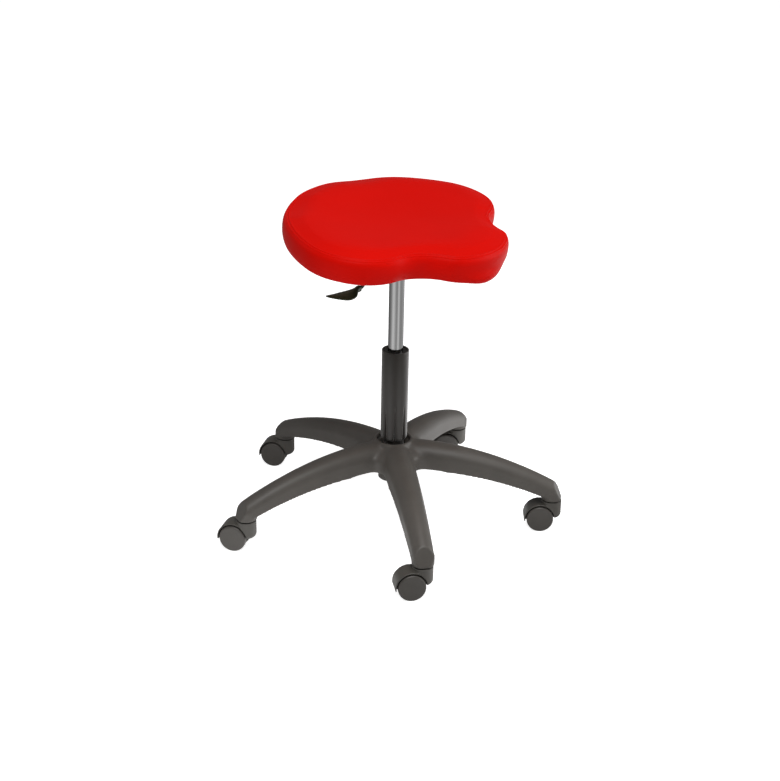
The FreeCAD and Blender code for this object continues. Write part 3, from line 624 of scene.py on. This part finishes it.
# along the blade: share of the length, places of its near and far edge, half thickness and rise
PADDLE_SECTIONS = (
    (0.0, 5.2, -5.2, 5.2, 0.0), (0.06, 5.6, -5.4, 5.4, 0.0), (0.15, 8.0, -3.4, 4.8, 0.0),
    (0.27, 15.5, -5.6, 4.0, -0.2), (0.40, 22.0, -9.8, 3.4, -0.5), (0.55, 25.5, -13.2, 3.0, -0.6),
    (0.70, 24.0, -14.6, 2.7, -0.6), (0.82, 15.0, -14.6, 2.4, -0.2), (0.91, 5.0, -14.2, 2.0, 0.2),
    (0.97, -3.5, -12.8, 1.4, 0.5), (1.0, -8.6, -10.4, 0.6, 0.7))
PADDLE_RING, PADDLE_STEPS, PADDLE_FINENESS = 40, 60, 0.02
PADDLE_CUP, CUP_POWER, BLADE_SQUARENESS = 0.10, 1.5, 0.72


def paddle_root():
    """Where the blade starts, in the lever's own frame: x outwards along the lever, z up."""
    source = frame["nodes"]["lever_paddle"]
    mesh = source.data.copy()
    mesh.transform(source.matrix_world)
    points = points_of(mesh)
    bpy.data.meshes.remove(mesh)
    out = points[:, 0] * math.cos(LEVER_ANGLE) + points[:, 1] * math.sin(LEVER_ANGLE)
    return float(out.min()), float(points[:, 2].min() + points[:, 2].max()) / 2


def add_paddle():
    start, level = paddle_root()
    table = np.array(PADDLE_SECTIONS)
    shares = np.linspace(0, 1, PADDLE_STEPS)
    smooth = through(table, PADDLE_FINENESS)
    values = np.column_stack([np.interp(shares, smooth[:, 0], smooth[:, k]) for k in range(1, 5)])
    around = np.linspace(0, TURN, PADDLE_RING, endpoint=False)
    c, s = np.cos(around), np.sin(around)
    across = np.sign(c) * np.abs(c) ** BLADE_SQUARENESS
    lift = np.sign(s) * np.abs(s) ** BLADE_SQUARENESS
    rows = []
    for share, (near, far, thick, rise) in zip(shares, values):
        half = (near - far) / 2
        y = (near + far) / 2 + half * across
        x = np.full(PADDLE_RING, start / MM + PADDLE_LENGTH * share)
        cup = PADDLE_CUP * half * np.abs(across) ** CUP_POWER
        z = level / MM + thick * lift + rise - cup
        rows.append(np.column_stack([x * math.cos(LEVER_ANGLE) - y * math.sin(LEVER_ANGLE),
                                     x * math.sin(LEVER_ANGLE) + y * math.cos(LEVER_ANGLE), z]))
    faces = ring_faces(len(rows), PADDLE_RING) + end_caps(len(rows), PADDLE_RING)
    paddle = make_piece("lever_blade", np.vstack(rows) * MM, faces, "lever_plastic")
    settle(paddle, "lever", "lever_paddle")


# Seat outline: a closed chain of tangent arcs, up to 2 mm from that of the solids, in millimetres

SEAT_TILT, SEAT_BASE = math.radians(6.7), 547.5
NOSE_REACH, REAR_REACH = 201.3, 197.0
NOSE_FRONT_R, NOSE_CORNER_R, NOSE_CORNER_X = 146.0, 48.0, 53.8
WAIST_R, WING_R, WING_AT = 86.0, 104.0, (140.0, 1.0)


def beside(a, reach_a, b, reach_b, side):
    """The point at the given distances from two centres, on one side of the line between them."""
    gap = b - a
    length = gap.length
    along = (reach_a ** 2 - reach_b ** 2 + length ** 2) / (2 * length)
    off = math.sqrt(reach_a ** 2 - along ** 2)
    unit = gap / length
    return a + unit * along + Vector((-unit.y, unit.x)) * (off * side)


def seat_arcs():
    """Centre, radius and outward sign of each arc of the right half, from the nose to the rear."""
    front = Vector((0, NOSE_FRONT_R - NOSE_REACH))
    rise = math.sqrt((NOSE_FRONT_R - NOSE_CORNER_R) ** 2 - NOSE_CORNER_X ** 2)
    corner = Vector((NOSE_CORNER_X, front.y - rise))
    wing = Vector(WING_AT)
    waist = beside(corner, NOSE_CORNER_R + WAIST_R, wing, WING_R + WAIST_R, -1)
    back = REAR_REACH - wing.y
    rear_r = (wing.x ** 2 + back ** 2 - WING_R ** 2) / (2 * (back - WING_R))
    rear = Vector((0, REAR_REACH - rear_r))
    return ((front, NOSE_FRONT_R, 1), (corner, NOSE_CORNER_R, 1), (waist, WAIST_R, -1),
            (wing, WING_R, 1), (rear, rear_r, 1))


def towards(centre, other, reach):
    return centre + (other - centre).normalized() * reach


def seat_loop(step):
    """Points of the outline and their outward normals, evenly spaced from the nose round the right side."""
    arcs = seat_arcs()
    (front, rf, _), (corner, rc, _), (waist, _, _), (wing, rw, _), (rear, rr, _) = arcs
    ends = [Vector((0, front.y - rf)), towards(front, corner, rf), towards(corner, waist, rc),
            towards(wing, waist, rw), towards(rear, wing, rr), Vector((0, rear.y + rr))]
    half = []
    for (centre, radius, sign), a, b in zip(arcs, ends, ends[1:]):
        start = math.atan2(a.y - centre.y, a.x - centre.x)
        sweep = math.atan2(b.y - centre.y, b.x - centre.x) - start
        sweep = (sweep + math.pi) % TURN - math.pi
        count = max(2, round(abs(sweep) * radius / step))
        for i in range(count):
            t = start + sweep * i / count
            out = Vector((math.cos(t), math.sin(t)))
            half.append((centre + out * radius, out * sign))
    rear_end = (ends[-1], Vector((0, 1)))
    mirrored = [(Vector((-p.x, p.y)), Vector((-n.x, n.y))) for p, n in reversed(half[1:])]
    loop = half + [rear_end] + mirrored
    return np.array([p for p, _ in loop]), np.array([n for _, n in loop])


# Seat cover, in millimetres. Its section: (inset from the outline, height over the underside), hem to crown
COVER_SECTION = ((30.5, 0.5), (24.0, 0.1), (16.0, 0.0), (10.0, 0.1), (6.2, 1.2), (4.2, 4.0), (2.8, 8.5),
                 (1.4, 14.5), (0.7, 21.0), (0.5, 28.0), (0.9, 34.5), (2.4, 40.0), (5.2, 44.0), (9.4, 46.8),
                 (15.0, 48.7), (21.0, 50.0), (28.0, 50.8), (34.0, 51.2))
SECTION_STEP, SIDE_FROM, HEM_RISE, HEM_EDGE = 0.25, 30.0, 1.5, 1.0
# the seam between the top and side panels: its inset, its groove, and the lips below and above it
SEAM_INSET, SEAM_DEPTH, SEAM_HALF, SEAM_UNEVEN = 7.2, 0.45, 1.1, 0.12
SEAM_LIP, LIP_OFFSET, TOP_LIP, TOP_LIP_HALF = 0.9, 2.3, 0.8, 1.3
# the coarse grid's step along the outline, its rows for each such step, and the points that each step gets
COARSE_STEP, ROW_DENSITY, FINE_SHARE, CROWN_STEP = 7.0, 1.6, 4, 0.5
# the fine rows' steps away from the seam and near it, and how far near reaches
FINE_STEP, SEAM_STEP, SEAM_REACH = 2.4, 0.5, 7.0
CROWN_RINGS, CROWN_RISE, SEAT_MIDDLE_Y = 22, 3.0, 0.0
# the dish of the saddle, which starts at a height of the side and is full a little above, and its shoulders
DISH_HALF_X, DISH_HALF_Y, DISH_Y, DISH_DEPTH, DISH_POWER = 205.0, 150.0, 12.0, 14.0, 1.6
DISH_FROM, DISH_FADE = 38.0, 8.0
SHOULDER_X, SHOULDER_Y, SHOULDER_HALF, SHOULDER_DROP = 115.0, 178.0, 50.0, 4.6
# Simulated swelling of the cover: the cloth, frames, and how far a point may move in the end
CLOTH = {"quality": 5, "mass": 0.35, "tension_stiffness": 14.0, "compression_stiffness": 10.0,
         "shear_stiffness": 4.0, "bending_stiffness": 0.4, "shrink_min": -0.004, "use_pressure": True,
         "uniform_pressure_force": 4.0, "vertex_group_mass": "held"}
SWELL_FRAMES, SWELL_CAP, HEM_ROWS_HELD, SEAM_HOLD = 20, 2.2, 3, 0.85
# rounds that even out the swelling along and across the outline
SWELL_EVEN_ALONG, SWELL_EVEN_ACROSS = 6, 2
# a faint waviness of the side panel: depth, distance below the seam and half width
SIDE_WAVE, SIDE_WAVE_BELOW, SIDE_WAVE_HALF = 0.3, 22.0, 14.0
# Slack in the lower side panel, by place and half width along the outline from the nose's middle: a roll at
# one corner of the nose, with its height, fullness and sag, and a tuck beside it
ROLL_PLACE, ROLL_HALF, ROLL_AT, ROLL_FULLNESS, ROLL_SAG = -28.0, 46.0, 5.0, 6.5, 4.2
TUCK_PLACE, TUCK_HALF, TUCK_DEPTH = 62.0, 40.0, 2.8
SLACK_HEIGHT = 9.0
HEM_GATHERS, GATHER_DEPTH, GATHER_AT, GATHER_HALF = 96, 0.45, 8.0, 7.0
# slow waves round the seat: seed, how many of them, and how often the longest one repeats
SEAM_WAVES, GATHER_WAVES, SIDE_WAVES = (3, 6, 2), (11, 5, 2), (5, 9, 3)


def hump(s, centre, width):
    return np.exp(-((s - centre) / width) ** 2)


def ripple(angle, seed, terms, lowest):
    """A smooth closed wave round the seat, with fixed phases."""
    draw = np.random.default_rng(seed)
    wave = np.zeros_like(angle)
    for k in range(lowest, lowest + terms):
        wave += np.sin(k * angle + draw.uniform(0, TURN)) / math.sqrt(terms)
    return wave


def dish(x, y):
    """How far the top is hollowed in the middle and lowered at the rear shoulders."""
    far = (x / DISH_HALF_X) ** 2 + ((y - DISH_Y) / DISH_HALF_Y) ** 2
    shoulder = hump(np.hypot(np.abs(x) - SHOULDER_X, y - SHOULDER_Y), 0.0, SHOULDER_HALF)
    return DISH_DEPTH * np.clip(1.0 - far, 0.0, 1.0) ** DISH_POWER + SHOULDER_DROP * shoulder


def cover_section():
    """The section's path, distance along it, and the seam's distance."""
    path = through(COVER_SECTION, SECTION_STEP)
    steps = np.concatenate([[0.0], np.cumsum(np.linalg.norm(np.diff(path, axis=0), axis=1))])
    rising = path[:, 1] > SIDE_FROM
    return path, steps, float(np.interp(SEAM_INSET, path[rising][:, 0], steps[rising]))


def coarse_cover():
    """Rows of points from the hem up the side and over the crown, and the place of each row."""
    loop, normals = seat_loop(COARSE_STEP)
    path, steps, _ = cover_section()
    places = np.linspace(0.0, steps[-1], round(steps[-1] / COARSE_STEP * ROW_DENSITY))
    rows = []
    for s in places:
        inset, height = np.interp(s, steps, path[:, 0]), np.interp(s, steps, path[:, 1])
        xy = loop - normals * inset
        z = np.full(len(loop), height)
        fade = np.clip((height - DISH_FROM) / DISH_FADE, 0.0, 1.0)
        rows.append(np.column_stack([xy, z - fade * dish(xy[:, 0], xy[:, 1])]))
    rim = loop - normals * path[-1, 0]
    middle = np.array([0.0, SEAT_MIDDLE_Y])
    for share in np.linspace(1.0, 0.0, CROWN_RINGS + 1)[1:-1]:
        xy = middle + (rim - middle) * share
        z = path[-1, 1] + CROWN_RISE * (1 - share ** 2) - dish(xy[:, 0], xy[:, 1])
        rows.append(np.column_stack([xy, z]))
    return np.array(rows), places


def swollen(grid, seam_row):
    """The cover's rows after a short cloth simulation under air pressure, held at the hem and the seam."""
    rows, count = grid.shape[:2]
    top = grid[-1].mean(axis=0)
    under = grid[0].mean(axis=0)
    verts = np.vstack([grid.reshape(-1, 3), [top, under]]) * MM
    work = make_piece("cover_work", verts, ring_faces(rows, count) + end_fans(rows, count), "seat_cover")
    held = work.vertex_groups.new(name="held")
    held.add(list(range(HEM_ROWS_HELD * count)) + [rows * count + 1], 1.0, "REPLACE")
    held.add(list(range(seam_row * count, (seam_row + 1) * count)), SEAM_HOLD, "REPLACE")
    cloth = work.modifiers.new("cloth", "CLOTH")
    for key, value in CLOTH.items():
        setattr(cloth.settings, key, value)
    cloth.settings.effector_weights.gravity = 0.0
    cloth.collision_settings.use_collision = False
    scene = bpy.context.scene
    for step in range(1, SWELL_FRAMES + 1):
        scene.frame_set(step)
    depsgraph = bpy.context.evaluated_depsgraph_get()
    moved = points_of(work.evaluated_get(depsgraph).data)[:rows * count] / MM
    scene.frame_set(1)
    bpy.data.objects.remove(work)
    shift = moved.reshape(rows, count, 3) - grid
    size = np.linalg.norm(shift, axis=2, keepdims=True)
    shift = shift * np.minimum(1.0, SWELL_CAP / np.maximum(size, 1e-9))
    for _ in range(SWELL_EVEN_ALONG):
        shift = (np.roll(shift, 1, 1) + 2 * shift + np.roll(shift, -1, 1)) / 4
    for _ in range(SWELL_EVEN_ACROSS):
        shift[1:-1] = (shift[:-2] + 2 * shift[1:-1] + shift[2:]) / 4
    return grid + shift


def finer_columns(grid, share):
    """The rows with more points, on smooth closed curves."""
    parts = []
    for k in range(share):
        t = k / share
        parts.append(spline(np.roll(grid, 1, 1), grid, np.roll(grid, -1, 1), np.roll(grid, -2, 1), t))
    return np.stack(parts, axis=2).reshape(grid.shape[0], -1, 3)


def finer_rows(grid, places):
    """Rows at fractional places between the given ones."""
    low = np.clip(np.floor(places).astype(int), 0, len(grid) - 2)
    t = (places - low)[:, None, None]
    padded = np.concatenate([2 * grid[:1] - grid[1:2], grid, 2 * grid[-1:] - grid[-2:-1]])
    return spline(padded[low], padded[low + 1], padded[low + 2], padded[low + 3], t)


def grid_normals(grid):
    around = np.roll(grid, -1, 1) - np.roll(grid, 1, 1)
    along = np.gradient(grid, axis=0)
    normal = np.cross(around, along)
    return normal / np.maximum(np.linalg.norm(normal, axis=2, keepdims=True), 1e-12)


def fine_places(seam, total):
    """Distances along the section, close together near the seam."""
    start, end = seam - SEAM_REACH, seam + SEAM_REACH
    below = np.linspace(0.0, start, round(start / FINE_STEP))
    near = np.linspace(start, end, round(2 * SEAM_REACH / SEAM_STEP))[1:]
    above = np.linspace(end, total, round((total - end) / FINE_STEP))[1:]
    return np.concatenate([below, near, above])


def sewn(grid, places, seam):
    """Press the seam's groove and lips, the roll and tuck, and the hem's gathers into the fine rows."""
    count = grid.shape[1]
    angle = np.linspace(0, TURN, count, endpoint=False)
    index = np.arange(count)
    place = np.where(index > count / 2, index - count, index) * COARSE_STEP / FINE_SHARE
    path, steps, _ = cover_section()
    hem_end = float(steps[np.argmax(path[:, 1] > HEM_EDGE)])
    heights = np.interp(places, steps, path[:, 1])
    depth = 1.0 + SEAM_UNEVEN * ripple(angle, *SEAM_WAVES)
    normals = grid_normals(grid)
    roll, tuck = hump(place, ROLL_PLACE, ROLL_HALF), hump(place, TUCK_PLACE, TUCK_HALF)
    gather = 0.5 + 0.5 * np.sin(HEM_GATHERS * angle + ripple(angle, *GATHER_WAVES))
    wave = SIDE_WAVE * ripple(angle, *SIDE_WAVES)
    out = grid.copy()
    for r, (s, height) in enumerate(zip(places, heights)):
        push = (-SEAM_DEPTH * hump(s, seam, SEAM_HALF) + SEAM_LIP * hump(s, seam - LIP_OFFSET, SEAM_HALF)
                + SEAM_LIP * TOP_LIP * hump(s, seam + LIP_OFFSET, TOP_LIP_HALF)) * depth
        side = wave * hump(s, seam - SIDE_WAVE_BELOW, SIDE_WAVE_HALF)
        rising = 1.0 if s > hem_end else 0.0
        slack = rising * hump(height, ROLL_AT, SLACK_HEIGHT)
        fold = slack * (ROLL_FULLNESS * roll - TUCK_DEPTH * tuck)
        hem = GATHER_DEPTH * gather * hump(s, GATHER_AT, GATHER_HALF)
        out[r] += normals[r] * (push + side + fold + hem)[:, None]
        out[r, :, 2] -= ROLL_SAG * roll * hump(height, 0.0, SLACK_HEIGHT) * min(s / hem_end, 1.0)
    return out


def seat_cover():
    """The cover's mesh, in the seat's own frame, closed under the hem and over the crown."""
    grid, places = coarse_cover()
    _, steps, seam = cover_section()
    seam_row = int(round(np.interp(seam, places, np.arange(len(places)))))
    grid = swollen(grid, seam_row)
    grid = finer_columns(grid, FINE_SHARE)
    fine = fine_places(seam, steps[-1])
    on_side = np.interp(fine, places, np.arange(len(places)))
    on_crown = np.arange(len(places) - 1, len(grid) - 1 + 1e-6, CROWN_STEP)[1:]
    side = sewn(finer_rows(grid, on_side), fine, seam)
    crown = finer_rows(grid, on_crown)
    low = side[0].copy()
    low[:, 2] = COVER_SECTION[0][1] + HEM_RISE
    rows = np.concatenate([low[None], side, crown])
    verts = np.vstack([rows.reshape(-1, 3), [rows[-1].mean(axis=0), [0.0, SEAT_MIDDLE_Y, low[0, 2]]]])
    faces = ring_faces(*rows.shape[:2]) + end_fans(*rows.shape[:2])
    return make_piece("seat_cover", verts * MM, faces, "seat_cover")


def on_seat(obj):
    """Move a piece from the seat's own frame to its place on the tilted plate."""
    obj.data.transform(Matrix.Translation((0, 0, SEAT_BASE * MM)) @ Matrix.Rotation(SEAT_TILT, 4, "X"))
    return obj


def add_seat():
    cover = on_seat(seat_cover())
    settle(cover, "seat", "seat_cushion")


# Under the seat, in millimetres: staples in the hem, and the weld that joins the socket to the plate, whose
# gap is in degrees to each side of the lever

STAPLE_INSET, STAPLE_PITCH, STAPLE_HALF, STAPLE_WIRE, STAPLE_LEG = 17.0, 24.0, 5.0, 0.55, 2.2
STAPLE_SINK, STAPLE_BEND, STAPLE_CORNER, STAPLE_RING = 0.9, 0.5, 0.12, 6
WELD_R, WELD_BEAD, WELD_STEPS, WELD_RING, WELD_GAP, WELD_SINK = 21.2, 2.1, 180, 10, 24.0, 0.4
WELD_RIPPLE, RIPPLE_TURN = 0.09, 1.6
PLATE_UNDER = -1.5


def wire(path, radius, ring):
    """A closed round wire along a path of points."""
    path = np.array(path, float)
    turn = np.linspace(0, TURN, ring, endpoint=False)[:, None]
    rows = []
    for i, p in enumerate(path):
        ahead = Vector(path[min(i + 1, len(path) - 1)] - path[max(i - 1, 0)]).normalized()
        side = ahead.orthogonal().normalized()
        third = np.array(ahead.cross(side))
        rows.append(p + radius * (np.cos(turn) * np.array(side) + np.sin(turn) * third))
    return np.vstack(rows), ring_faces(len(rows), ring) + end_caps(len(rows), ring)


def gathered(parts):
    """One list of points and faces from several."""
    verts, faces, start = [], [], 0
    for points, quads in parts:
        verts.append(points)
        faces += [tuple(i + start for i in face) for face in quads]
        start += len(points)
    return np.vstack(verts), faces


def add_staples():
    loop, normals = seat_loop(STAPLE_PITCH)
    parts = []
    for place, normal in zip(loop, normals):
        middle = place - normal * STAPLE_INSET
        along = np.array([-normal[1], normal[0]]) * STAPLE_HALF
        ends = [middle - along, middle + along]
        corner = along * STAPLE_CORNER
        low = -STAPLE_WIRE * STAPLE_SINK
        path = [(*ends[0], low + STAPLE_LEG), (*ends[0], low + STAPLE_BEND), (*(ends[0] + corner), low),
                (*(ends[1] - corner), low), (*ends[1], low + STAPLE_BEND), (*ends[1], low + STAPLE_LEG)]
        parts.append(wire(path, STAPLE_WIRE, STAPLE_RING))
    verts, faces = gathered(parts)
    settle(on_seat(make_piece("hem_staples", verts * MM, faces, "bolt_zinc")), "seat")


def add_weld():
    """A rippled bead round the socket, open where the lever passes."""
    gap = math.radians(WELD_GAP)
    angles = np.linspace(LEVER_ANGLE + gap, LEVER_ANGLE + TURN - gap, WELD_STEPS)
    path = []
    for a in angles:
        x, y = WELD_R * math.cos(a), WELD_R * math.sin(a)
        under = SEAT_BASE + y * math.tan(SEAT_TILT) + PLATE_UNDER / math.cos(SEAT_TILT)
        path.append((x, y, under - WELD_SINK))
    verts, faces = wire(path, WELD_BEAD, WELD_RING)
    beat = 1.0 + WELD_RIPPLE * np.sin(np.repeat(np.arange(WELD_STEPS), WELD_RING) * RIPPLE_TURN)
    centre = np.repeat(np.array(path), WELD_RING, axis=0)
    verts = centre + (verts - centre) * beat[:, None]
    settle(make_piece("socket_weld", verts * MM, faces, "plate_paint"), "seat")


add_camera()
add_world()
add_floor()
for box in LIGHTS:
    add_light(*box)
dress_nodes()
add_star_base()
add_casters()
add_tube()
add_paddle()
add_seat()
add_staples()
add_weld()
